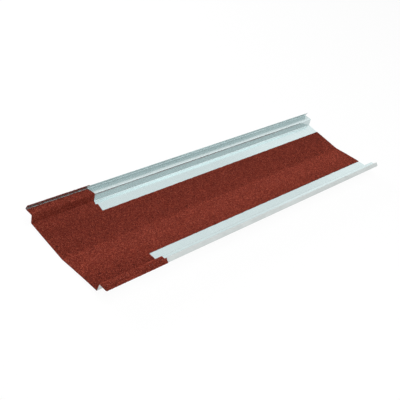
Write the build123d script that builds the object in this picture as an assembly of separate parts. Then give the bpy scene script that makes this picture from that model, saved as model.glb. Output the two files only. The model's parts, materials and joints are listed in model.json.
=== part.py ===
from build123d import *
import os
from math import atan2, cos, radians, sin, tan

# Valley tray of a stone-chip coated roof: one pressed sheet and the chip coating bonded to it.
# X runs up the valley from the lower end, Y runs across it, and the underside of the centre
# bend lies on Z = 0 with the origin below the middle of the tray.

# Pressed sheet, in millimetres and degrees. Widths run to the sharp corners of the upper face.
LENGTH = 1250.0
PAN_WIDTH = 285.0  # between the feet of the two upstands
VEE_DEPTH = 13.3  # fall of the pan from an upstand's foot to the centre bend
UPSTAND_HEIGHT = 25.5
UPSTAND_LEAN = 3.0  # outward, from the foot of an upstand to its top
LEDGE_WIDTH = 27.5  # from the top of an upstand to the outside of the fold
LIP_LENGTH = 15.5
LIP_ANGLE_AT_MINUS_Y = 44.0  # between a ledge and the lip folded back over it
LIP_ANGLE_AT_PLUS_Y = 64.0  # this lip stands more open
SHEET_THICKNESS = 0.5
BEND_RADIUS = 1.6  # inside the bends at the foot and the top of an upstand
LIP_BEND_RADIUS = 1.2  # inside the fold between ledge and lip
VEE_RADIUS = 60.0  # inside the centre bend

# Stone-chip coating, laid from above after pressing
COAT_THICKNESS = 1.2
LIP_COAT_THICKNESS = 2.4  # on the outer face of a lip, where the coating gathered
COATED_END = 213.0  # length of the lower end that is coated over its full width
COATED_LIP = 209.0  # length of the coating on the outer face of a lip
BARE_STRIP = 42.0  # sheet left bare beside each upstand, above the coated end
MASK_SLANT = 4.0  # by which the coating's edge runs askew over the bare strip at -Y
MASK_JOG = 8.0  # step in the coating's edge over the bare strip at +Y
MASK_JOG_PLACE = 14.0  # from that step to the foot of the upstand
LEDGE_MASK_SLANT = 6.0  # by which the coating falls back over the ledge at +Y

# Corners of the upper face, for a side of the tray taken as the +Y one
half_pan = PAN_WIDTH / 2
vee_slope = atan2(VEE_DEPTH, half_pan)
vee_rise = VEE_RADIUS * (1 / cos(vee_slope) - 1)  # of the rounded bend over its sharp corner
apex = (0, SHEET_THICKNESS - vee_rise)
foot = (half_pan, apex[1] + VEE_DEPTH)
top = (foot[0] + UPSTAND_LEAN, foot[1] + UPSTAND_HEIGHT)
outside = top[0] + LEDGE_WIDTH
ledge_end = (outside - SHEET_THICKNESS - LIP_BEND_RADIUS, top[1])  # where the fold to the lip begins

TOP_RADIUS = BEND_RADIUS + SHEET_THICKNESS  # the upper face is the outer one at an upstand's top


def lip_corners(lip_angle):
    """Sharp corner of the fold between ledge and lip, and the lip's free edge."""
    angle = radians(lip_angle)
    fold = (ledge_end[0] + LIP_BEND_RADIUS / tan(angle / 2), ledge_end[1])
    free_edge = (fold[0] - LIP_LENGTH * cos(angle), fold[1] + LIP_LENGTH * sin(angle))
    return [fold, free_edge]


def whole_section(minus_side, plus_side):
    """Points of the section from -Y to +Y, for points that run outward on each side."""
    mirrored = [(-across, height) for across, height in reversed(minus_side)]
    return mirrored + [apex] + plus_side


def layer(line, thickness, side):
    """Face of even thickness along one side of a line in the section."""
    return make_face(offset(line, amount=thickness, side=side).edges())


def along_valley(section, length):
    """Solid that carries a section of the tray up the valley from the lower end."""
    return extrude(Plane.YZ.offset(-LENGTH / 2) * section, length)


def steel_sheet():
    """Pressed sheet: shallow V pan, two upstands, two ledges and their returned lips."""
    minus_side = [foot, top] + lip_corners(LIP_ANGLE_AT_MINUS_Y)
    plus_side = [foot, top] + lip_corners(LIP_ANGLE_AT_PLUS_Y)
    side_bends = [BEND_RADIUS, TOP_RADIUS, LIP_BEND_RADIUS]
    bends = side_bends[::-1] + [VEE_RADIUS] + side_bends
    upper_face = FilletPolyline(*whole_section(minus_side, plus_side), radius=bends)
    return along_valley(layer(upper_face, SHEET_THICKNESS, Side.RIGHT), LENGTH)


def coated_ground():
    """Prism over the part of the tray that the mask left open to the coating."""
    strip_edge = half_pan - BARE_STRIP
    jog_place = half_pan - MASK_JOG_PLACE
    ledge_coat = COATED_END - LEDGE_MASK_SLANT
    outline = [
        (0, -outside),
        (COATED_END, -outside),
        (COATED_END, -top[0]),
        (COATED_END - MASK_SLANT / 2, -half_pan),
        (COATED_END + MASK_SLANT / 2, -strip_edge),
        (LENGTH, -strip_edge),
        (LENGTH, strip_edge),
        (COATED_END, strip_edge),
        (COATED_END + MASK_JOG / 2, jog_place),
        (COATED_END - MASK_JOG / 2, jog_place),
        (COATED_END, half_pan),
        (COATED_END, top[0]),
        (ledge_coat, outside),
        (0, outside),
    ]
    ground = make_face(Polyline(*outline, close=True).edges())
    return extrude(Pos(-LENGTH / 2, 0, 0) * ground, top[1] + BEND_RADIUS + COAT_THICKNESS)


def pan_coating():
    """Coating over the pan, the upstands and the ledges, as far as the mask left them open."""
    side = [foot, top, ledge_end]
    bends = [TOP_RADIUS, BEND_RADIUS, VEE_RADIUS, BEND_RADIUS, TOP_RADIUS]
    upper_face = FilletPolyline(*whole_section(side, side), radius=bends)
    full_coat = along_valley(layer(upper_face, COAT_THICKNESS, Side.LEFT), LENGTH)
    return full_coat & coated_ground()


def lip_coating(lip_angle):
    """Coating on the outer face of a lip at +Y, down to the widest point of its fold."""
    folded_face = FilletPolyline(top, *lip_corners(lip_angle), radius=LIP_BEND_RADIUS)
    coated_fold = layer(folded_face, SHEET_THICKNESS + LIP_COAT_THICKNESS, Side.RIGHT)
    bare_fold = layer(folded_face, SHEET_THICKNESS, Side.RIGHT)
    seen_from_above = Pos(outside, top[1] + LIP_BEND_RADIUS) * Rectangle(
        4 * LIP_LENGTH, 2 * LIP_LENGTH, align=(Align.CENTER, Align.MIN)
    )
    return along_valley((coated_fold - bare_fold) & seen_from_above, COATED_LIP)


def stone_coating():
    """Chip coating: the wide layer and a strip on the outer face of each lip."""
    plus_strip = lip_coating(LIP_ANGLE_AT_PLUS_Y)
    minus_strip = mirror(lip_coating(LIP_ANGLE_AT_MINUS_Y), about=Plane.XZ)
    pieces = [pan_coating(), plus_strip, minus_strip]
    return Compound([solid for piece in pieces for solid in piece.solids()])


os.makedirs("parts", exist_ok=True)
export_step(steel_sheet(), "parts/steel_sheet.step")
export_step(stone_coating(), "parts/stone_coating.step")
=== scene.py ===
"""Valley tray of a stone-chip coated roof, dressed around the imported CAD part.

X runs up the valley from the coated lower end, Y across it and Z up, in metres. A place on the sheet is
given by its X and its run: the length along the section's upper face from the centre bend, plus on the
+Y side and minus on the -Y side.
"""

import json
import logging
import math
from dataclasses import dataclass
from enum import Enum

import bpy
import numpy as np
from mathutils import Matrix, Vector

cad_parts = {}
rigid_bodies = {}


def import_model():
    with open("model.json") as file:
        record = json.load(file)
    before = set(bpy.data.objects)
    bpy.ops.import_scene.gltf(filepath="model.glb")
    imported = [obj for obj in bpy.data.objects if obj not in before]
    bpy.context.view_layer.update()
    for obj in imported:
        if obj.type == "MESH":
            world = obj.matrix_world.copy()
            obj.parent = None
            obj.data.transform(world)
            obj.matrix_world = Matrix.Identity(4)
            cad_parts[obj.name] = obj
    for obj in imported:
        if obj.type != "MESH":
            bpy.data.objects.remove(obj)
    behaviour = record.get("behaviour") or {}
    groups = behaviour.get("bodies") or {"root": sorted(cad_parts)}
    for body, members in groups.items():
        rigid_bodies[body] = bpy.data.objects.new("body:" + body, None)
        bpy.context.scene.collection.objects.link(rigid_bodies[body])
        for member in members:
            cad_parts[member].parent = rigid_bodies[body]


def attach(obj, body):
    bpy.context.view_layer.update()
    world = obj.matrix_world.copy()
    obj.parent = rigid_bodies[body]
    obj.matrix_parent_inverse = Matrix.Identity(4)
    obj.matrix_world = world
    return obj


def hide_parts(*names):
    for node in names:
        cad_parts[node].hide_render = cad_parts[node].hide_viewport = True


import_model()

log = logging.getLogger("valley_tray")
MM = 0.001
TINY = 1e-6  # metres, less than any size of the tray


class Flank(Enum):
    """The two sides of the tray."""

    MINUS_Y = -1
    PLUS_Y = 1


class Bay(Enum):
    """Lengths of the chip layer, each of them one piece."""

    END_MINUS_Y = "lower_end_minus_y"
    END_PLUS_Y = "lower_end_plus_y"
    FIRST = "first_bay"
    SECOND = "second_bay"
    THIRD = "third_bay"
    FOURTH = "fourth_bay"


class SheetSlot(Enum):
    """Material slots of the pressed sheet."""

    UPPER_FACE = 0
    CUT_EDGE = 1
    UNDER_FACE = 2
    COATED_EDGE = 3


def waver(along: np.ndarray, seed: int, length: float, octaves: int = 3) -> np.ndarray:
    """Smooth wandering line between about -1 and 1.

    Args:
        along: Places on the line, in metres.
        seed: Picks the line.
        length: Longest wave, in metres.
        octaves: Number of finer waves added.

    Returns:
        The line's value at each place.
    """
    dice = np.random.default_rng(seed)
    total = np.zeros_like(along, dtype=float)
    share = 0.0
    for octave in range(octaves):
        weight = 0.62**octave
        for _ in range(2):
            wave = length * dice.uniform(0.7, 1.3) / 2.1**octave
            total += weight * np.sin(2 * np.pi * along / wave + dice.uniform(0, 2 * np.pi))
        share += weight
    return total / (1.4 * share)


@dataclass
class SectionLine:
    """Upper face of the section as a row of points from -Y to +Y.

    Args:
        place: Points (y, z).
        normal: Direction out of the upper face at each point.
        run: Length from the centre bend.
        give: How freely the sheet can bow there, from 0 in a bend to 1.
        marks: Runs of the corners, by name.
    """

    place: np.ndarray
    normal: np.ndarray
    run: np.ndarray
    give: np.ndarray
    marks: dict[str, float]

    def at(self, run: np.ndarray) -> tuple[np.ndarray, np.ndarray, np.ndarray]:
        """Point, normal and give at any run.

        Args:
            run: Lengths from the centre bend.

        Returns:
            Points (y, z), unit normals (y, z) and the give.
        """
        place = np.stack([np.interp(run, self.run, self.place[:, i]) for i in (0, 1)], -1)
        normal = np.stack([np.interp(run, self.run, self.normal[:, i]) for i in (0, 1)], -1)
        normal /= np.linalg.norm(normal, axis=-1, keepdims=True)
        return place, normal, np.interp(run, self.run, self.give)

    def run_at_width(self, width: float) -> float:
        """Run of the pan's or ledge's point at this Y, on the side that its sign names."""
        inside = np.abs(self.run) <= self.marks["ledge_end"] + TINY
        return float(np.interp(width, self.place[inside, 0], self.run[inside]))


@dataclass(frozen=True)
class TraySection:
    """Sizes of the pressed section, to the sharp corners of its upper face."""

    length: float = 1250 * MM
    half_pan: float = 142.5 * MM
    vee_depth: float = 13.3 * MM
    upstand_height: float = 25.5 * MM
    upstand_lean: float = 3 * MM
    ledge_width: float = 27.5 * MM
    lip_length: float = 15.5 * MM
    lip_angle_minus: float = math.radians(44)
    lip_angle_plus: float = math.radians(64)
    lip_knee: float = 5.5 * MM
    lip_opening: float = math.radians(5)
    thickness: float = 0.5 * MM
    bend_radius: float = 1.6 * MM
    lip_bend_radius: float = 1.2 * MM
    vee_radius: float = 60 * MM
    spring_minus: float = 1.2 * MM
    spring_plus: float = -0.3 * MM
    edge_give: float = 0.3
    flat_step: float = 6 * MM
    bend_steps: int = 9

    def apex(self) -> float:
        """Height of the centre bend's sharp corner."""
        slope = math.atan2(self.vee_depth, self.half_pan)
        return self.thickness - self.vee_radius * (1 / math.cos(slope) - 1)

    def ledge_end(self) -> float:
        """Y at which the fold from ledge to lip begins."""
        top = self.half_pan + self.upstand_lean
        return top + self.ledge_width - self.thickness - self.lip_bend_radius

    def corners(self, flank: Flank) -> list[tuple[float, float, float]]:
        """Corners of one side of the section, outward.

        Args:
            flank: The side.

        Returns:
            Each corner as (y, z, bend radius).
        """
        foot = (self.half_pan, self.apex() + self.vee_depth)
        top = (foot[0] + self.upstand_lean, foot[1] + self.upstand_height)
        angle = self.lip_angle_plus if flank is Flank.PLUS_Y else self.lip_angle_minus
        fold = (self.ledge_end() + self.lip_bend_radius / math.tan(angle / 2), top[1])
        side = [
            (*foot, self.bend_radius),
            (*top, self.bend_radius + self.thickness),
            (*fold, self.lip_bend_radius),
        ]
        rest = self.lip_length
        if flank is Flank.PLUS_Y:
            fold = (fold[0] - self.lip_knee * math.cos(angle), fold[1] + self.lip_knee * math.sin(angle))
            side.append((*fold, self.vee_radius))
            angle += self.lip_opening
            rest -= self.lip_knee
        side.append((fold[0] - rest * math.cos(angle), fold[1] + rest * math.sin(angle), 0.0))
        return [(flank.value * y, z, radius) for y, z, radius in side]

    def trace(self) -> SectionLine:
        """Follow the section from the lip at -Y to the lip at +Y.

        Returns:
            The upper face with its bends rounded.
        """
        middle = (0.0, self.apex(), self.vee_radius)
        corners = self.corners(Flank.MINUS_Y)[::-1] + [middle] + self.corners(Flank.PLUS_Y)
        points: list[np.ndarray] = []
        normals: list[np.ndarray] = []
        give: list[float] = []
        last = np.array(corners[0][:2])
        for index in range(1, len(corners)):
            corner = np.array(corners[index][:2])
            back = last - corner
            back = back / np.linalg.norm(back)
            end, arc = corner, None
            if index < len(corners) - 1:
                end, arc = self._bend(corner, back, np.array(corners[index + 1][:2]), corners[index][2])
            steps = max(2, round(float(np.linalg.norm(end - last)) / self.flat_step))
            for step in range(steps + 1):
                share = step / steps
                points.append(last + (end - last) * share)
                normals.append(np.array([back[1], -back[0]]))
                if index == 1:
                    give.append(self.edge_give * (1 - share))
                elif arc is None:
                    give.append(self.edge_give * share)
                else:
                    give.append(4 * share * (1 - share))
            if arc is not None:
                for point, normal in arc[:-1]:
                    points.append(point)
                    normals.append(normal)
                    give.append(0.0)
                last = arc[-1][0]
        place, normal = np.array(points), np.array(normals)
        lengths = np.concatenate([[0], np.cumsum(np.linalg.norm(np.diff(place, axis=0), axis=1))])
        run = lengths - float(np.interp(0.0, place[:, 0], lengths))
        return SectionLine(place, normal, run, np.array(give), self._marks(place, normal, run))

    def _bend(
        self, corner: np.ndarray, back: np.ndarray, ahead_corner: np.ndarray, radius: float
    ) -> tuple[np.ndarray, list[tuple[np.ndarray, np.ndarray]]]:
        """Round one corner.

        Args:
            corner: The sharp corner.
            back: Unit direction back along the section.
            ahead_corner: The next corner.
            radius: Radius of the upper face.

        Returns:
            Where the bend starts, and its points with their normals after that.
        """
        ahead = ahead_corner - corner
        ahead = ahead / np.linalg.norm(ahead)
        opening = math.acos(float(np.clip(back @ ahead, -1, 1)))
        setback = radius / math.tan(opening / 2)
        start = corner + back * setback
        middle = back + ahead
        centre = corner + middle / np.linalg.norm(middle) * radius / math.sin(opening / 2)
        left = float(-back[0] * ahead[1] + back[1] * ahead[0]) > 0
        turn = (math.pi - opening) * (1 if left else -1)
        arm = start - centre
        arc = []
        for step in range(1, self.bend_steps + 1):
            angle = turn * step / self.bend_steps
            c, s = math.cos(angle), math.sin(angle)
            spoke = np.array([c * arm[0] - s * arm[1], s * arm[0] + c * arm[1]])
            arc.append((centre + spoke, (-spoke if left else spoke) / radius))
        return start, arc

    def _marks(self, place: np.ndarray, normal: np.ndarray, run: np.ndarray) -> dict[str, float]:
        """Find the places that the coating is laid out from.

        Args:
            place: Points of the upper face.
            normal: Their normals.
            run: Their runs.

        Returns:
            Runs of those places, by name.
        """
        outer = place - normal * self.thickness
        top = self.corners(Flank.PLUS_Y)[1]
        on_ledge = np.abs(place[:, 1] - top[1]) < TINY
        return {
            "ledge_end": float(run[on_ledge & (np.abs(place[:, 0] - self.ledge_end()) < TINY)].max()),
            "widest_plus": float(run[np.argmax(outer[:, 0])]),
            "widest_minus": float(run[np.argmin(outer[:, 0])]),
            "edge_plus": float(run[-1]),
            "edge_minus": float(run[0]),
        }


@dataclass
class TraySurface:
    """The pressed sheet's upper face in space, with the slight bowing of its flats.

    Args:
        section: The pressed section.
        bows: Waves of the flats, each as its height in millimetres, its length along the valley in
            metres, and its turn for each metre across the sheet and its start, in radians.
    """

    section: TraySection
    bows: tuple[tuple[float, float, float, float], ...] = ((0.10, 0.41, 31.0, 0.4), (0.06, 0.23, -47.0, 2.1))

    def __post_init__(self) -> None:
        """Follow the section once."""
        self.line = self.section.trace()

    def place(self, along: np.ndarray, run: np.ndarray, lift: float | np.ndarray) -> np.ndarray:
        """Points on the sheet or at some height over it.

        Args:
            along: Distances from the lower end.
            run: Runs on the section.
            lift: Heights over the upper face.

        Returns:
            Points in the part's frame.
        """
        point, normal, give = self.line.at(run)
        bow = np.zeros_like(run)
        for size, wave, turn, start in self.bows:
            bow += size * np.sin(2 * np.pi * along / wave + turn * run + start)
        share = np.clip(np.abs(run) / self.section.half_pan, 0, 1)
        spring = np.where(run < 0, self.section.spring_minus, self.section.spring_plus)
        spring = spring * np.sin(np.pi * share)
        height = (np.asarray(lift) + bow * MM * give + spring)[..., None]
        across = point + normal * height
        return np.concatenate([(along - self.section.length / 2)[..., None], across], -1)


def linked(name: str, data: bpy.types.ID) -> bpy.types.Object:
    """New object in the scene, at the origin.

    Args:
        name: Its name.
        data: Its mesh, light or camera.

    Returns:
        The object.
    """
    thing = bpy.data.objects.new(name, data)
    bpy.context.scene.collection.objects.link(thing)
    return thing


def mesh_object(name: str, points: np.ndarray, faces: list[tuple[int, ...]]) -> bpy.types.Object:
    """New mesh object at the origin.

    Args:
        name: Name of the piece.
        points: Its vertices.
        faces: Its faces, with outward winding.

    Returns:
        The object, linked to the scene.
    """
    mesh = bpy.data.meshes.new(name)
    mesh.from_pydata([tuple(p) for p in points.tolist()], [], faces)
    mesh.validate()
    return linked(name, mesh)


def shade_by_angle(thing: bpy.types.Object, angle: float) -> None:
    """Smooth shading, broken at edges sharper than an angle."""
    thing.data.shade_smooth()
    thing.data.set_sharp_from_angle(angle=angle)


@dataclass
class Patch:
    """Part of the sheet's face as a grid of quads.

    Args:
        along: Distance from the lower end of each vertex.
        run: Run of each vertex.
        quads: Corners of each quad, wound to face out of the upper face.
    """

    along: np.ndarray
    run: np.ndarray
    quads: list[tuple[int, int, int, int]]

    def border(self) -> list[tuple[int, int]]:
        """Edges with a face on one side only, in the winding of that face."""
        edges = {(quad[i], quad[(i + 1) % 4]) for quad in self.quads for i in range(4)}
        return [edge for edge in sorted(edges) if (edge[1], edge[0]) not in edges]


def table_quads(table: np.ndarray) -> list[tuple[int, int, int, int]]:
    """Quads of a grid.

    Args:
        table: Numbers of its vertices, with rows up the valley and columns from -Y to +Y.

    Returns:
        Corners of each quad, wound to face out of the upper face.
    """
    corners = (table[:-1, :-1], table[1:, :-1], table[1:, 1:], table[:-1, 1:])
    return [tuple(quad) for quad in np.stack(corners, -1).reshape(-1, 4).tolist()]


def grid_quads(rows: int, columns: int) -> list[tuple[int, int, int, int]]:
    """Quads of a grid whose vertices are numbered row by row."""
    return table_quads(np.arange(rows * columns).reshape(rows, columns))


class NodeBench:
    """Adds and joins nodes in one tree."""

    def __init__(self, tree: bpy.types.NodeTree) -> None:
        """Work on a tree."""
        self.tree = tree

    def add(
        self, kind: str, inputs: dict[str | int, object] | None = None, **settings: object
    ) -> bpy.types.Node:
        """Add one node.

        Args:
            kind: Blender's name of the node's type.
            inputs: Values or sockets for its inputs, by name or number.
            **settings: Properties of the node.

        Returns:
            The node.
        """
        node = self.tree.nodes.new(kind)
        for name, value in settings.items():
            setattr(node, name, value)
        for key, value in (inputs or {}).items():
            if isinstance(value, bpy.types.NodeSocket):
                self.tree.links.new(value, node.inputs[key])
            else:
                node.inputs[key].default_value = value
        return node

    def math(self, operation: str, first: object, second: object) -> bpy.types.NodeSocket:
        """Add a Math node and give its result."""
        return self.add("ShaderNodeMath", {0: first, 1: second}, operation=operation).outputs[0]

    def ramp(
        self, value: bpy.types.NodeSocket, stops: list[tuple[float, tuple[float, float, float]]]
    ) -> bpy.types.NodeSocket:
        """Add a colour ramp.

        Args:
            value: Socket that drives it.
            stops: Positions and colours.

        Returns:
            Its colour.
        """
        node = self.add("ShaderNodeValToRGB", {"Fac": value})
        band = node.color_ramp.elements
        while len(band) < len(stops):
            band.new(0.5)
        for element, (place, colour) in zip(band, stops):
            element.position = place
            element.color = (*colour, 1.0)
        return node.outputs["Color"]


class ShaderEffects:
    """Node groups that several finishes share."""

    def __init__(self) -> None:
        """Build each group once."""
        self.drift = self._drift()
        self.grain = self._grain()

    def _group(
        self, name: str, inputs: list[tuple[str, float]], output: str
    ) -> tuple[bpy.types.NodeTree, NodeBench]:
        """New shader group with number inputs and one number output.

        Args:
            name: Name of the group.
            inputs: Names and first values of its inputs.
            output: Name of its output.

        Returns:
            The group and a bench on it.
        """
        tree = bpy.data.node_groups.new(name, "ShaderNodeTree")
        for label, value in inputs:
            socket = tree.interface.new_socket(label, in_out="INPUT", socket_type="NodeSocketFloat")
            socket.default_value = value
        tree.interface.new_socket(output, in_out="OUTPUT", socket_type="NodeSocketFloat")
        return tree, NodeBench(tree)

    def _drift(self) -> bpy.types.NodeTree:
        """Slow unevenness of a finish.

        Returns:
            A group that gives a factor that wanders about 1.
        """
        inputs = [("Patch Size", 0.02), ("Amount", 0.1), ("Seed", 0.0)]
        tree, bench = self._group("uneven_lay", inputs, "Factor")
        given = bench.add("NodeGroupInput")
        where = bench.add("ShaderNodeTexCoord").outputs["Object"]
        scale = bench.math("DIVIDE", 1.0, given.outputs["Patch Size"])
        cloud = bench.add(
            "ShaderNodeTexNoise",
            {"Vector": where, "W": given.outputs["Seed"], "Scale": scale, "Detail": 3.0, "Roughness": 0.55},
            noise_dimensions="4D",
        )
        swing = bench.math("MULTIPLY", bench.math("SUBTRACT", cloud.outputs[0], 0.5), given.outputs["Amount"])
        bench.add("NodeGroupOutput", {"Factor": bench.math("ADD", bench.math("MULTIPLY", swing, 4.0), 1.0)})
        return tree

    def _grain(self) -> bpy.types.NodeTree:
        """Fine grit or crystal relief.

        Returns:
            A group that gives a height from 0 to 1.
        """
        tree, bench = self._group("fine_relief", [("Grain Size", 0.0005), ("Hardness", 0.5)], "Height")
        given = bench.add("NodeGroupInput")
        where = bench.add("ShaderNodeTexCoord").outputs["Object"]
        scale = bench.math("DIVIDE", 1.0, given.outputs["Grain Size"])
        soft = bench.add("ShaderNodeTexNoise", {"Vector": where, "Scale": scale, "Detail": 2.0}).outputs[0]
        hard = bench.add("ShaderNodeTexVoronoi", {"Vector": where, "Scale": scale}).outputs["Distance"]
        mix = bench.add(
            "ShaderNodeMix", {"Factor": given.outputs["Hardness"], "A": soft, "B": hard}, data_type="FLOAT"
        )
        bench.add("NodeGroupOutput", {"Height": mix.outputs[0]})
        return tree


@dataclass(frozen=True)
class Finish:
    """A surface finish: a name and the shader's plain values."""

    name: str
    colour: tuple[float, float, float]
    roughness: float
    metallic: float = 0.0
    specular: float = 0.5

    def start(self) -> tuple[bpy.types.Material, NodeBench, bpy.types.Node]:
        """New material with one Principled shader at the plain values.

        Returns:
            The material, a bench on its nodes and the shader.
        """
        material = bpy.data.materials.new(self.name)
        material.use_nodes = True
        material.diffuse_color = (*self.colour, 1.0)
        bench = NodeBench(material.node_tree)
        shader = material.node_tree.nodes["Principled BSDF"]
        shader.inputs["Base Color"].default_value = (*self.colour, 1.0)
        shader.inputs["Roughness"].default_value = self.roughness
        shader.inputs["Metallic"].default_value = self.metallic
        shader.inputs["Specular IOR Level"].default_value = self.specular
        return material, bench, shader

    def group(
        self, bench: NodeBench, tree: bpy.types.NodeTree, inputs: dict[str, float]
    ) -> bpy.types.NodeSocket:
        """Place a shared effect in the material and give its output."""
        return bench.add("ShaderNodeGroup", inputs, node_tree=tree).outputs[0]

    def relief(
        self,
        bench: NodeBench,
        shader: bpy.types.Node,
        height: bpy.types.NodeSocket,
        depth: float,
        strength: float,
    ) -> None:
        """Feed a height to the shader as bump."""
        bump = bench.add("ShaderNodeBump", {"Height": height, "Distance": depth, "Strength": strength})
        bench.tree.links.new(bump.outputs["Normal"], shader.inputs["Normal"])

    def paint(
        self, bench: NodeBench, shader: bpy.types.Node, colour: object, factor: bpy.types.NodeSocket
    ) -> None:
        """Feed a colour multiplied by a number to the shader."""
        node = bench.add("ShaderNodeVectorMath", {0: colour, "Scale": factor}, operation="SCALE")
        bench.tree.links.new(node.outputs["Vector"], shader.inputs["Base Color"])


@dataclass(frozen=True)
class GalvanisedFinish(Finish):
    """Hot-dip metallic coating: satin and pale, with a fine spangle and faint smears along the sheet."""

    name: str = "galvanised_steel"
    colour: tuple[float, float, float] = (0.60, 0.698, 0.703)
    roughness: float = 0.17
    metallic: float = 0.84
    specular: float = 0.3
    grazing: tuple[float, float, float] = (0.76, 0.76, 0.76)
    spangle: float = 7 * MM
    smears: float = 0.025

    def material(self, effects: ShaderEffects) -> bpy.types.Material:
        """Build the finish.

        Args:
            effects: The shared node groups.

        Returns:
            The material.
        """
        material, bench, shader = self.start()
        shader.inputs["Specular Tint"].default_value = (*self.grazing, 1.0)
        where = bench.add("ShaderNodeTexCoord").outputs["Object"]
        cells = bench.add("ShaderNodeTexVoronoi", {"Vector": where, "Scale": 1 / self.spangle})
        cell = bench.add("ShaderNodeSeparateColor", {"Color": cells.outputs["Color"]}).outputs[0]
        drift = self.group(bench, effects.drift, {"Patch Size": 0.05, "Amount": self.smears, "Seed": 2.0})
        glint = bench.math("ADD", bench.math("MULTIPLY", cell, 0.016), 0.992)
        self.paint(bench, shader, self.colour, bench.math("MULTIPLY", glint, drift))
        smear = self.group(bench, effects.drift, {"Patch Size": 0.06, "Amount": 0.05, "Seed": 5.0})
        bench.tree.links.new(bench.math("MULTIPLY", self.roughness, smear), shader.inputs["Roughness"])
        fine = self.group(bench, effects.grain, {"Grain Size": 0.9 * MM, "Hardness": 0.25})
        self.relief(bench, shader, fine, 0.01 * MM, 0.1)
        return material


@dataclass(frozen=True)
class CutEdgeFinish(Finish):
    """Sheared edge of the sheet: plain grey steel with fine shear lines."""

    name: str = "cut_edge"
    colour: tuple[float, float, float] = (0.56, 0.60, 0.60)
    roughness: float = 0.5
    metallic: float = 1.0

    def material(self, effects: ShaderEffects) -> bpy.types.Material:
        """Build the finish.

        Args:
            effects: The shared node groups.

        Returns:
            The material.
        """
        material, bench, shader = self.start()
        drift = self.group(bench, effects.drift, {"Patch Size": 0.012, "Amount": 0.12, "Seed": 8.0})
        self.paint(bench, shader, self.colour, drift)
        lines = self.group(bench, effects.grain, {"Grain Size": 0.25 * MM, "Hardness": 0.2})
        self.relief(bench, shader, lines, 0.04 * MM, 0.5)
        return material


@dataclass(frozen=True)
class ResinFinish(Finish):
    """Red-brown resin between the chips, with fine grit in it."""

    name: str = "resin_bed"
    colour: tuple[float, float, float] = (0.100, 0.0165, 0.0105)
    roughness: float = 0.9
    specular: float = 0.1

    def material(self, effects: ShaderEffects) -> bpy.types.Material:
        """Build the finish.

        Args:
            effects: The shared node groups.

        Returns:
            The material.
        """
        material, bench, shader = self.start()
        lay = self.group(bench, effects.drift, {"Patch Size": 0.03, "Amount": 0.05, "Seed": 3.0})
        grit = self.group(bench, effects.grain, {"Grain Size": 0.55 * MM, "Hardness": 0.8})
        shade = bench.math("ADD", bench.math("MULTIPLY", grit, 0.7), 0.7)
        self.paint(bench, shader, self.colour, bench.math("MULTIPLY", lay, shade))
        self.relief(bench, shader, grit, 0.35 * MM, 0.9)
        return material


@dataclass(frozen=True)
class ChipFinish(Finish):
    """Crushed stone chips: mostly red-brown, with some dark and some orange ones among them."""

    name: str = "stone_chips"
    colour: tuple[float, float, float] = (0.24, 0.043, 0.030)
    roughness: float = 0.9
    specular: float = 0.12

    def material(self, effects: ShaderEffects) -> bpy.types.Material:
        """Build the finish.

        Args:
            effects: The shared node groups.

        Returns:
            The material.
        """
        material, bench, shader = self.start()
        # The chip tone carries painted shade along the -Y upstand's foot and painted light toward the +Y
        # upstand.
        tone = bench.add("ShaderNodeAttribute", attribute_name="chip_tone").outputs["Fac"]
        stone = bench.ramp(
            tone,
            [
                (0.0, (0.040, 0.010, 0.008)),
                (0.20, (0.130, 0.0215, 0.0135)),
                (0.45, (0.230, 0.0365, 0.0215)),
                (0.82, (0.330, 0.0600, 0.0360)),
                (1.0, (0.460, 0.1050, 0.0680)),
            ],
        )
        lay = self.group(bench, effects.drift, {"Patch Size": 0.03, "Amount": 0.05, "Seed": 3.0})
        grit = self.group(bench, effects.grain, {"Grain Size": 0.4 * MM, "Hardness": 0.4})
        shade = bench.math("ADD", bench.math("MULTIPLY", grit, 0.35), 0.83)
        self.paint(bench, shader, stone, bench.math("MULTIPLY", lay, shade))
        self.relief(bench, shader, grit, 0.15 * MM, 0.6)
        return material


@dataclass
class PressedSheet:
    """The one pressed sheet: pan, upstands, ledges and returned lips.

    Args:
        surface: The face that it follows.
        coated: Length of the coated lips, whose cut edges are coated too.
        stations: Number of sections along the valley.
        crease: Edges sharper than this look sharp.
    """

    surface: TraySurface
    coated: float
    stations: int = 91
    crease: float = math.radians(40)

    def build(self) -> bpy.types.Object:
        """Make the closed sheet with rounded bends.

        Returns:
            The sheet, with its faces shared out among the slots.
        """
        section, line = self.surface.section, self.surface.line
        columns = len(line.run)
        along, run = np.meshgrid(np.linspace(0, section.length, self.stations), line.run, indexing="ij")
        upper = self.surface.place(along.ravel(), run.ravel(), 0.0)
        lower = self.surface.place(along.ravel(), run.ravel(), -section.thickness)
        count = len(upper)
        skin = grid_quads(self.stations, columns)
        patch = Patch(along.ravel(), run.ravel(), skin)
        faces = list(skin) + [tuple(c + count for c in quad[::-1]) for quad in skin]
        plain = len(faces)
        edges = patch.border()
        faces += [(b, a, a + count, b + count) for a, b in edges]
        sheet = mesh_object("pressed_sheet", np.concatenate([upper, lower]), faces)
        slots = np.zeros(len(faces), dtype=np.int32)
        slots[len(skin):] = SheetSlot.UNDER_FACE.value
        slots[plain:] = [self._edge_slot(patch.along[list(edge)]).value for edge in edges]
        sheet.data.polygons.foreach_set("material_index", slots)
        shade_by_angle(sheet, self.crease)
        return sheet

    def _edge_slot(self, along: np.ndarray) -> SheetSlot:
        """Slot of a cut edge between these two places along the valley."""
        return SheetSlot.COATED_EDGE if along.max() < self.coated else SheetSlot.CUT_EDGE

    def dress(self, sheet: bpy.types.Object, finishes: dict[SheetSlot, bpy.types.Material]) -> None:
        """Give the sheet its finishes and put it in place of the CAD sheet.

        Args:
            sheet: The sheet.
            finishes: The finish in each slot.
        """
        for slot in SheetSlot:
            sheet.data.materials.append(finishes[slot])
        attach(sheet, "root")
        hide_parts("steel_sheet")


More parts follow.
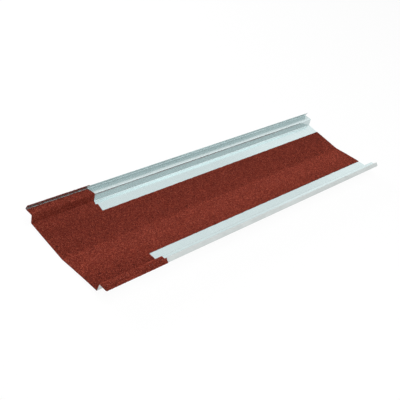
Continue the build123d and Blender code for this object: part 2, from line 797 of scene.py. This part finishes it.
@dataclass(frozen=True)
class CoatMask:
    """Where the mask left the sheet open to the coating."""

    coated_end: float = 213 * MM
    coated_lip: float = 209 * MM
    bare_strip: float = 42 * MM
    mask_slant: float = 4 * MM
    mask_jog: float = 8 * MM
    mask_jog_place: float = 14 * MM
    ledge_mask_slant: float = 6 * MM
    ragged: float = 0.45 * MM

    def end_edge(self, section: TraySection, width: np.ndarray) -> np.ndarray:
        """Where the coating of the lower end stops.

        Args:
            section: The pressed section.
            width: Places across the tray.

        Returns:
            Distances from the lower end.
        """
        strip = section.half_pan - self.bare_strip
        jog = section.half_pan - self.mask_jog_place
        top = section.half_pan + section.upstand_lean
        outside = top + section.ledge_width
        slant, step = self.mask_slant / 2, self.mask_jog / 2
        minus_places = [-outside, -top, -section.half_pan, -strip]
        plus_places = [strip, jog - TINY, jog + TINY, section.half_pan, top, outside]
        places = minus_places + plus_places
        shifts = [0, 0, -slant, slant, 0, step, -step, 0, 0, -self.ledge_mask_slant]
        return self.coated_end + np.interp(width, places, shifts)


@dataclass
class StoneCoat:
    """The bonded coating: a bed of resin and the ground that the chips are pressed into.

    Args:
        surface: The face that it lies on.
        mask: Where the sheet was left open to it.
        bed: Height of the bed.
        lip_bed: Height of the bed on the lips, where it gathered.
        middle_reach: Runs within this are the middle of the pan.
        low_rows: Rows of the patch over the lower end.
        high_rows: Rows of the patch above it.
        side_columns: Columns of the patch on each side of the middle.
        jog_width: Width of the step in the mask's edge.
        least_column: Least width of a column.
        lip_rows: Rows of the patch on a lip.
        lip_columns: Its columns.
        lip_short: How far it stops short of the lip's free edge.
        lip_waver: How far that wanders.
        fade_rate: How fast the strips' ragged edges set in above the lower end.
        crease: Edges sharper than this look sharp.
    """

    surface: TraySurface
    mask: CoatMask
    bed: float = 0.62 * MM
    lip_bed: float = 1.7 * MM
    middle_reach: float = 101 * MM
    low_rows: int = 27
    high_rows: int = 208
    side_columns: int = 40
    jog_width: float = 0.3 * MM
    least_column: float = 0.1 * MM
    lip_rows: int = 64
    lip_columns: int = 12
    lip_short: float = 0.02 * MM
    lip_waver: float = 0.14 * MM
    fade_rate: float = 60.0
    crease: float = math.radians(35)

    def _columns(self, strip: list[float]) -> np.ndarray:
        """Lay out the columns of the patch over the pan.

        Args:
            strip: Runs of the inner edges of the bare strips.

        Returns:
            Runs from ledge to ledge, close together where the mask's edge is uneven.
        """
        line = self.surface.line
        reach = line.marks["ledge_end"]
        jog = line.run_at_width(self.surface.section.half_pan - self.mask.mask_jog_place)
        spans = ((-reach, strip[0]), (strip[1], reach))
        sides = [np.linspace(low, high, self.side_columns) for low, high in spans]
        steps = [jog - self.jog_width / 2, jog + self.jog_width / 2]
        runs = np.concatenate([line.run[np.abs(line.run) <= reach + TINY], *sides, steps, strip])
        across = np.array(sorted(set(np.round(runs, 7).tolist())))
        return across[np.concatenate([[True], np.diff(across) > self.least_column])]

    def pan_patch(self) -> Patch:
        """Coated face of the pan, the upstands and the ledges.

        Returns:
            The lower end over its full width and the middle of the pan above it, as one patch.
        """
        section, line = self.surface.section, self.surface.line
        strip = [line.run_at_width(side * (section.half_pan - self.mask.bare_strip)) for side in (-1, 1)]
        across = self._columns(strip)
        width = line.at(across)[0][:, 0]
        edge = self.mask.end_edge(section, width) + self.mask.ragged * waver(across, 11, 0.03)
        share = np.linspace(0, 1, self.low_rows)[:, None]
        along = (share * edge[None, :]).ravel()
        run = np.tile(across, self.low_rows)
        quads = grid_quads(self.low_rows, len(across))
        inside = np.nonzero((across > strip[0] - TINY) & (across < strip[1] + TINY))[0]
        share = np.linspace(0, 1, self.high_rows)[1:, None]
        upper_along = edge[inside][None, :] + share * (section.length - edge[inside])[None, :]
        upper_run = np.tile(across[inside], (len(share), 1))
        fade = np.minimum(1, share[:, 0] * self.fade_rate)
        for column, seed in ((0, 21), (-1, 22)):
            upper_run[:, column] += self.mask.ragged * fade * waver(upper_along[:, column], seed, 0.05)
        lowest = (self.low_rows - 1) * len(across) + inside
        upper = len(along) + np.arange(upper_run.size).reshape(upper_run.shape)
        quads += table_quads(np.concatenate([lowest[None, :], upper]))
        along = np.concatenate([along, upper_along.ravel()])
        return Patch(along, np.concatenate([run, upper_run.ravel()]), quads)

    def lip_patch(self, flank: Flank) -> Patch:
        """Coated outer face of one lip.

        Args:
            flank: The side that the lip is on.

        Returns:
            The face from the widest point of the fold to just short of the lip's free edge.
        """
        line = self.surface.line
        names = ("widest_plus", "edge_plus") if flank is Flank.PLUS_Y else ("widest_minus", "edge_minus")
        low, high = (line.marks[name] for name in names)
        along = np.linspace(0, self.mask.coated_lip, self.lip_rows)
        short = self.lip_short + self.lip_waver * waver(along, 31 + flank.value, 0.012)
        edge = high - flank.value * short
        share = np.linspace(0, 1, self.lip_columns)
        run = low + share[None, :] * (edge - low)[:, None]
        if flank is Flank.MINUS_Y:
            run = run[:, ::-1]
        grid = np.repeat(along[:, None], self.lip_columns, 1)
        grid[-1] += self.mask.ragged * waver(run[-1], 41, 0.01)
        return Patch(grid.ravel(), run.ravel(), grid_quads(self.lip_rows, self.lip_columns))

    def build_bed(self, patches: list[tuple[Patch, bool]]) -> bpy.types.Object:
        """Closed resin bed over the coated faces.

        Args:
            patches: Coated patches, each with whether it lies on the sheet's under side.

        Returns:
            The bed as one mesh.
        """
        points: list[np.ndarray] = []
        faces: list[tuple[int, ...]] = []
        for patch, under in patches:
            sheet_face = -self.surface.section.thickness if under else 0.0
            height = -self.lip_bed if under else self.bed
            first = sum(len(block) for block in points)
            count = len(patch.along)
            points.append(self.surface.place(patch.along, patch.run, sheet_face + height))
            points.append(self.surface.place(patch.along, patch.run, sheet_face))
            shell = [tuple(first + c for c in quad) for quad in patch.quads]
            shell += [tuple(first + count + c for c in quad[::-1]) for quad in patch.quads]
            shell += [(first + b, first + a, first + a + count, first + b + count) for a, b in patch.border()]
            faces += [face[::-1] for face in shell] if under else shell
        bed = mesh_object("resin_bed", np.concatenate(points), faces)
        shade_by_angle(bed, self.crease)
        return bed

    def dress_bed(self, bed: bpy.types.Object, finish: bpy.types.Material) -> None:
        """Give the bed its finish and put it in place of the CAD coating.

        Args:
            bed: The bed.
            finish: Its finish.
        """
        bed.data.materials.append(finish)
        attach(bed, "root")
        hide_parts("stone_coating")

    def ground(self, bay: Bay, patches: list[tuple[Patch, bool]]) -> bpy.types.Object:
        """Face that one bay's chips are strewn on.

        Args:
            bay: The bay.
            patches: Coated patches, each with whether it lies on the sheet's under side.

        Returns:
            An open mesh that knows its places on the sheet.
        """
        points: list[np.ndarray] = []
        places: list[np.ndarray] = []
        faces: list[tuple[int, ...]] = []
        for patch, under in patches:
            sheet_face = -self.surface.section.thickness - self.lip_bed if under else self.bed
            quads = np.array(patch.quads)
            kept = quads[self.in_bay(bay, patch.along[quads].mean(1), patch.run[quads].mean(1))]
            first = sum(len(block) for block in points)
            points.append(self.surface.place(patch.along, patch.run, sheet_face))
            places.append(np.stack([patch.along, patch.run, np.zeros_like(patch.run)], -1))
            faces += [tuple(first + c for c in (quad[::-1] if under else quad)) for quad in kept.tolist()]
        ground = mesh_object("ground_" + bay.value, np.concatenate(points), faces)
        place = ground.data.attributes.new("sheet_place", "FLOAT_VECTOR", "POINT")
        place.data.foreach_set("vector", np.concatenate(places).astype(np.float32).ravel())
        return ground

    def in_bay(self, bay: Bay, along: np.ndarray, run: np.ndarray) -> np.ndarray:
        """Which places belong to a bay.

        Args:
            bay: The bay.
            along: Distances from the lower end.
            run: Runs on the section.

        Returns:
            True for the places in it.
        """
        start = self.mask.coated_end - 0.5 * self.mask.mask_jog
        middle = self.middle_reach
        if bay is Bay.END_MINUS_Y:
            return (along < start) & (run < 0) | (along >= start) & (run < -middle)
        if bay is Bay.END_PLUS_Y:
            return (along < start) & (run >= 0) | (along >= start) & (run > middle)
        upper_bays = [Bay.FIRST, Bay.SECOND, Bay.THIRD, Bay.FOURTH]
        number = upper_bays.index(bay)
        length = (self.surface.section.length - start) / len(upper_bays)
        low, high = start + number * length, start + (number + 1) * length
        return (along >= low) & ((along < high) | (bay is upper_bays[-1])) & (np.abs(run) <= middle)


@dataclass
class ChipLayer:
    """Chips strewn over the bed by Geometry Nodes, several shapes turned and sized at random.

    Their tone drifts across the tray: the -Y half is a little paler, the chips along the foot of its
    upstand are darkened as painted shade, and those toward the +Y upstand are brightened as painted light.

    Args:
        surface: The face under the bed.
        shape_count: Number of chip shapes.
        size: Their mean radius.
        spacing: Least distance between two chips.
        density: Chips tried on each square metre.
        tone_and_shade_places: Runs at which the tone, with its painted light and shade, is set.
        tone_and_shade_shifts: What is added to the tone at those runs: painted shade by the -Y upstand's foot
            and painted light toward the +Y upstand among it.
    """

    surface: TraySurface
    shape_count: int = 10
    size: float = 1.06 * MM
    spacing: float = 1.4 * MM
    density: float = 2.6e6
    # Painted shade: the dip to -0.16 by the -Y upstand's foot. Painted light: the rise to 0.08 toward the +Y
    # upstand.
    tone_and_shade_places: tuple[float, ...] = (
        -0.170, -0.146, -0.140, -0.122, -0.112, -0.070, -0.050, -0.004, 0.004, 0.090, 0.150
    )
    tone_and_shade_shifts: tuple[float, ...] = (0.04, 0.04, -0.16, -0.12, -0.06, 0.02, 0.08, 0.08, -0.04, -0.01, 0.08)

    def __post_init__(self) -> None:
        """Make the chip shapes and the tree that strews them."""
        self.shapes = bpy.data.collections.new("chip_shapes")
        for number in range(self.shape_count):
            self.shapes.objects.link(self._chip(number))
        self.tree = self._tree()

    def _chip(self, number: int) -> bpy.types.Object:
        """One crushed chip with eight facets.

        Args:
            number: Picks the shape.

        Returns:
            A closed chip about its own middle.
        """
        dice = np.random.default_rng(100 + number)
        flat = number % 2 == 0
        corners = []
        for corner in range(3):
            turn = 2 * math.pi * (corner + dice.uniform(-0.17, 0.17)) / 3
            radius = dice.uniform(0.55, 0.9) if flat else dice.uniform(0.25, 0.7)
            corners.append((radius * math.cos(turn), radius * math.sin(turn), dice.uniform(0.42, 0.78)))
        for corner in range(3):
            turn = 2 * math.pi * (corner + 0.5 + dice.uniform(-0.15, 0.15)) / 3
            radius = dice.uniform(0.9, 1.2)
            corners.append((radius * math.cos(turn), radius * math.sin(turn), dice.uniform(-0.45, -0.1)))
        faces = [(0, 1, 2), (5, 4, 3), (0, 3, 1), (1, 4, 2), (2, 5, 0), (0, 5, 3), (1, 3, 4), (2, 4, 5)]
        mesh = bpy.data.meshes.new(f"chip_{number}")
        mesh.from_pydata([tuple(self.size * c for c in corner) for corner in corners], [], faces)
        return bpy.data.objects.new(f"chip_{number}", mesh)

    def _tree(self) -> bpy.types.NodeTree:
        """Geometry Nodes that strew the chips.

        Returns:
            The tree, with inputs for spacing, density, lean, sizes, seed and finish.
        """
        tree = bpy.data.node_groups.new("strew_chips", "GeometryNodeTree")
        face = tree.interface
        face.new_socket("Geometry", in_out="INPUT", socket_type="NodeSocketGeometry")
        for label, kind, value in (
            ("Spacing", "NodeSocketFloat", self.spacing),
            ("Density", "NodeSocketFloat", self.density),
            ("Lean", "NodeSocketFloat", 0.5),
            ("Smallest", "NodeSocketFloat", 0.75),
            ("Largest", "NodeSocketFloat", 1.22),
            ("Seed", "NodeSocketInt", 1),
        ):
            face.new_socket(label, in_out="INPUT", socket_type=kind).default_value = value
        face.new_socket("Finish", in_out="INPUT", socket_type="NodeSocketMaterial")
        face.new_socket("Geometry", in_out="OUTPUT", socket_type="NodeSocketGeometry")
        bench = NodeBench(tree)
        given = bench.add("NodeGroupInput").outputs
        strewn = bench.add(
            "GeometryNodeDistributePointsOnFaces",
            {
                "Mesh": given["Geometry"],
                "Distance Min": given["Spacing"],
                "Density Max": given["Density"],
                "Seed": given["Seed"],
            },
            distribute_method="POISSON",
        )
        tone = bench.add("FunctionNodeRandomValue", {"Seed": given["Seed"]}, data_type="FLOAT")
        points = self._keep(bench, strewn.outputs["Points"], "chip_tone", "FLOAT", tone.outputs["Value"])
        where = bench.add("GeometryNodeInputPosition").outputs[0]
        points = self._keep(bench, points, "chip_place", "FLOAT_VECTOR", where)
        steps = (11.0, 23.0, 37.0)
        turn_seed, pick_seed, size_seed = (bench.math("ADD", given["Seed"], step) for step in steps)
        lean = given["Lean"]
        back = bench.math("MULTIPLY", lean, -1.0)
        low = bench.add("ShaderNodeCombineXYZ", {0: back, 1: back})
        high = bench.add("ShaderNodeCombineXYZ", {0: lean, 1: lean, 2: 2 * math.pi})
        turn = bench.add(
            "FunctionNodeRandomValue",
            {"Min": low.outputs[0], "Max": high.outputs[0], "Seed": turn_seed},
            data_type="FLOAT_VECTOR",
        )
        tip = bench.add("FunctionNodeEulerToRotation", {0: turn.outputs["Value"]})
        set_on = bench.add(
            "FunctionNodeRotateRotation",
            {"Rotation": strewn.outputs["Rotation"], "Rotate By": tip.outputs[0]},
            rotation_space="LOCAL",
        )
        pick = bench.add(
            "FunctionNodeRandomValue", {4: 0, 5: self.shape_count - 1, "Seed": pick_seed}, data_type="INT"
        )
        grow = bench.add(
            "FunctionNodeRandomValue",
            {2: given["Smallest"], 3: given["Largest"], "Seed": size_seed},
            data_type="FLOAT",
        )
        shapes = bench.add("GeometryNodeCollectionInfo", {"Separate Children": True, "Reset Children": True})
        shapes.inputs["Collection"].default_value = self.shapes
        chips = bench.add(
            "GeometryNodeInstanceOnPoints",
            {
                "Points": points,
                "Instance": shapes.outputs[0],
                "Pick Instance": True,
                "Instance Index": pick.outputs[2],
                "Rotation": set_on.outputs[0],
                "Scale": grow.outputs[1],
            },
        )
        real = bench.add("GeometryNodeRealizeInstances", {0: chips.outputs[0]})
        finished = {"Geometry": real.outputs[0], "Material": given["Finish"]}
        done = bench.add("GeometryNodeSetMaterial", finished)
        bench.add("NodeGroupOutput", {0: done.outputs[0]})
        return tree

    def _keep(
        self,
        bench: NodeBench,
        points: bpy.types.NodeSocket,
        name: str,
        kind: str,
        value: bpy.types.NodeSocket,
    ) -> bpy.types.NodeSocket:
        """Store a value on each point, for its chip to carry."""
        inputs = {"Geometry": points, "Name": name, "Value": value}
        return bench.add("GeometryNodeStoreNamedAttribute", inputs, data_type=kind, domain="POINT").outputs[0]

    def strew(self, bay: Bay, ground: bpy.types.Object, finish: bpy.types.Material) -> bpy.types.Object:
        """Strew one bay's chips and make them a plain mesh.

        Args:
            bay: The bay.
            ground: Face that they lie on; it is removed.
            finish: Material of the chips.

        Returns:
            The bay's chips.
        """
        inputs = {i.name: i.identifier for i in self.tree.interface.items_tree if i.in_out == "INPUT"}
        modifier = ground.modifiers.new("strew_chips", "NODES")
        modifier.node_group = self.tree
        modifier[inputs["Seed"]] = 7 + list(Bay).index(bay)
        modifier[inputs["Finish"]] = finish
        seen = bpy.context.evaluated_depsgraph_get()
        strewn = ground.evaluated_get(seen)
        mesh = bpy.data.meshes.new_from_object(strewn, preserve_all_data_layers=True, depsgraph=seen)
        mesh.name = "chips_" + bay.value
        bpy.data.objects.remove(ground)
        self._settle(mesh)
        chips = linked(mesh.name, mesh)
        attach(chips, "root")
        return chips

    def _settle(self, mesh: bpy.types.Mesh) -> None:
        """Lay the chips' map out flat, as the sheet lies before it is pressed, and set their tone by place.

        Args:
            mesh: The chips of one bay.
        """
        count = len(mesh.vertices)
        spot, home, place = (np.empty(count * 3, np.float32) for _ in range(3))
        mesh.vertices.foreach_get("co", spot)
        mesh.attributes["chip_place"].data.foreach_get("vector", home)
        mesh.attributes["sheet_place"].data.foreach_get("vector", place)
        away = (spot - home).reshape(-1, 3).astype(float)
        place = place.reshape(-1, 3).astype(float)
        normal = self.surface.line.at(place[:, 1])[1]
        run = place[:, 1] + away[:, 1] * normal[:, 1] - away[:, 2] * normal[:, 0]
        flat = np.stack([place[:, 0] + away[:, 0], run], -1)
        tone = np.empty(count, np.float32)
        mesh.attributes["chip_tone"].data.foreach_get("value", tone)
        # Adds painted shade along the -Y upstand's foot and painted light toward the +Y upstand to each
        # chip's random tone.
        tone_and_shade_shift = np.interp(place[:, 1], self.tone_and_shade_places, self.tone_and_shade_shifts)
        mesh.attributes["chip_tone"].data.foreach_set("value", np.clip(tone + tone_and_shade_shift, 0, 1).astype(np.float32))
        low, high = flat.min(0), flat.max(0)
        flat = (flat - low) / (high - low)
        corner = np.empty(len(mesh.loops), np.int32)
        mesh.loops.foreach_get("vertex_index", corner)
        layer = mesh.uv_layers.new(name="OFBake")
        layer.uv.foreach_set("vector", flat[corner].astype(np.float32).ravel())
        for name in ("chip_place", "sheet_place"):
            mesh.attributes.remove(mesh.attributes[name])

    def clear_shapes(self) -> None:
        """Remove the shapes once every bay is strewn."""
        for chip in list(self.shapes.objects):
            bpy.data.objects.remove(chip)
        bpy.data.collections.remove(self.shapes)


@dataclass(frozen=True)
class Lamp:
    """Broad soft lamp that looks at the tray.

    Args:
        name: Name of the lamp.
        power: Its power in watts.
        turn: Direction to it in degrees from +X toward +Y.
        rise: Direction to it in degrees over the floor.
        away: Its distance.
        size: Its width and height.
        mirrored: Whether the metal mirrors it, over the white room behind it.
    """

    name: str
    power: float
    turn: float
    rise: float
    away: float = 3.0
    size: tuple[float, float] = (2.4, 1.2)
    mirrored: bool = False

    def build(self) -> bpy.types.Object:
        """Hang the lamp.

        Returns:
            The lamp.
        """
        light = bpy.data.lights.new(self.name, "AREA")
        light.shape = "RECTANGLE"
        light.size, light.size_y = self.size
        light.energy = self.power
        thing = linked(self.name, light)
        turn, rise = math.radians(self.turn), math.radians(self.rise)
        flat = self.away * math.cos(rise)
        place = Vector((flat * math.cos(turn), flat * math.sin(turn), self.away * math.sin(rise)))
        look = (-place).to_track_quat("-Z", "Y").to_matrix().to_4x4()
        thing.matrix_world = Matrix.Translation(place) @ look
        thing.visible_glossy = self.mirrored
        return thing


@dataclass(frozen=True)
class Studio:
    """Pale floor, soft light and the camera."""

    eye: tuple[float, float, float] = (-1.64108, -1.04667, 1.34649)
    right: tuple[float, float, float] = (0.689294, -0.676503, 0.259265)
    up: tuple[float, float, float] = (0.275461, 0.575711, 0.769856)
    ahead: tuple[float, float, float] = (0.670071, 0.459239, -0.583185)
    lens: float = 67.759
    sky: float = 0.03
    floor_white: float = 0.94
    floor_reach: float = 9.0
    floor_drop: float = 0.4 * MM
    lamps: tuple[Lamp, ...] = (
        Lamp("soft_top", 76.0, 200.0, 80.0, size=(3.0, 3.0)),
        Lamp("soft_front", 42.0, 266.0, 42.0, size=(2.4, 1.6)),
        Lamp("soft_back", 116.0, 100.0, 15.0),
        Lamp("soft_end", 19.5, 342.5, 43.5, away=6.0, size=(1.7, 2.6), mirrored=True),
        Lamp("soft_far", 4.8, 9.0, 27.0, away=6.0, size=(3.2, 2.0), mirrored=True),
    )

    def _seen_plainly(self, bench: NodeBench) -> bpy.types.NodeSocket:
        """Tell the rays that see the white studio from those that are lit by it.

        Args:
            bench: Adds nodes to the tree that asks.

        Returns:
            1 for rays from the camera, a reflection or through glass, else 0.
        """
        path = bench.add("ShaderNodeLightPath").outputs
        mirror = bench.math("MAXIMUM", path["Is Glossy Ray"], path["Is Transmission Ray"])
        return bench.math("MAXIMUM", path["Is Camera Ray"], mirror)

    def world(self) -> None:
        """White surroundings that light the tray a little more softly than they look."""
        world = bpy.data.worlds.new("white_studio")
        bpy.context.scene.world = world
        world.use_nodes = True
        bench = NodeBench(world.node_tree)
        background = world.node_tree.nodes["Background"]
        background.inputs["Color"].default_value = (1, 1, 1, 1)
        gain = bench.math("MULTIPLY", self._seen_plainly(bench), 1.0 - self.sky)
        bench.tree.links.new(bench.math("ADD", gain, self.sky), background.inputs["Strength"])

    def floor(self) -> bpy.types.Object:
        """Lay the floor under the tray.

        Returns:
            A pale floor that keeps a trace of the tray's shadow.
        """
        signs = ((-1, -1), (1, -1), (1, 1), (-1, 1))
        corners = np.array([(x * self.floor_reach, y * self.floor_reach, -self.floor_drop) for x, y in signs])
        floor = mesh_object("studio_floor", corners, [(0, 1, 2, 3)])
        material = bpy.data.materials.new("pale_floor")
        material.use_nodes = True
        material.node_tree.nodes.clear()
        bench = NodeBench(material.node_tree)
        paint = bench.add("ShaderNodeBsdfDiffuse", {"Color": (0.88, 0.88, 0.88, 1)})
        glow = bench.add("ShaderNodeEmission", {"Color": (1, 1, 1, 1), "Strength": 1.0})
        share = bench.math("MULTIPLY", self._seen_plainly(bench), self.floor_white)
        mix = bench.add("ShaderNodeMixShader", {0: share, 1: paint.outputs[0], 2: glow.outputs[0]})
        bench.add("ShaderNodeOutputMaterial", {"Surface": mix.outputs[0]})
        floor.data.materials.append(material)
        return floor

    def camera(self) -> bpy.types.Object:
        """Put the camera at the photograph's viewing angle.

        Returns:
            The camera.
        """
        lens = bpy.data.cameras.new("camera")
        lens.sensor_fit = "HORIZONTAL"
        lens.sensor_width = 36.0
        lens.lens = self.lens
        lens.clip_end = 60.0
        thing = linked("camera", lens)
        turn = Matrix((self.right, self.up, tuple(-a for a in self.ahead))).transposed().to_4x4()
        thing.matrix_world = Matrix.Translation(self.eye) @ turn
        bpy.context.scene.camera = thing
        return thing

    def build(self) -> None:
        """Set the stage."""
        self.world()
        self.floor()
        for lamp in self.lamps:
            lamp.build()
        self.camera()
        bpy.context.scene.view_settings.view_transform = "Standard"


def plain(corners: tuple[Vector, Vector]) -> list[list[float]]:
    """Box corners as plain lists."""
    return [[round(float(value), 6) for value in corner] for corner in corners]


def report(thing: bpy.types.Object) -> None:
    """Log a piece and its triangles."""
    triangles = sum(len(face.vertices) - 2 for face in thing.data.polygons)
    log.info("%s: %d triangles", thing.name, triangles)


def main() -> None:
    """Build the tray, dress it and set the stage."""
    logging.basicConfig(level=logging.INFO, format="%(message)s")
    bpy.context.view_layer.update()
    effects = ShaderEffects()
    surface = TraySurface(TraySection())
    mask = CoatMask()
    resin = ResinFinish().material(effects)
    sheet_maker = PressedSheet(surface, mask.coated_lip)
    sheet = sheet_maker.build()
    back = GalvanisedFinish("galvanised_back", (0.585, 0.622, 0.614), 0.42, smears=0.07)
    finishes = {
        SheetSlot.UPPER_FACE: GalvanisedFinish().material(effects),
        SheetSlot.CUT_EDGE: CutEdgeFinish().material(effects),
        SheetSlot.UNDER_FACE: back.material(effects),
        SheetSlot.COATED_EDGE: resin,
    }
    sheet_maker.dress(sheet, finishes)
    report(sheet)
    coat = StoneCoat(surface, mask)
    patches = [(coat.pan_patch(), False)] + [(coat.lip_patch(flank), True) for flank in Flank]
    bed = coat.build_bed(patches)
    coat.dress_bed(bed, resin)
    report(bed)
    layer = ChipLayer(surface)
    stone = ChipFinish().material(effects)
    for bay in Bay:
        report(layer.strew(bay, coat.ground(bay, patches), stone))
    layer.clear_shapes()
    Studio().build()


if __name__ == "__main__":
    main()
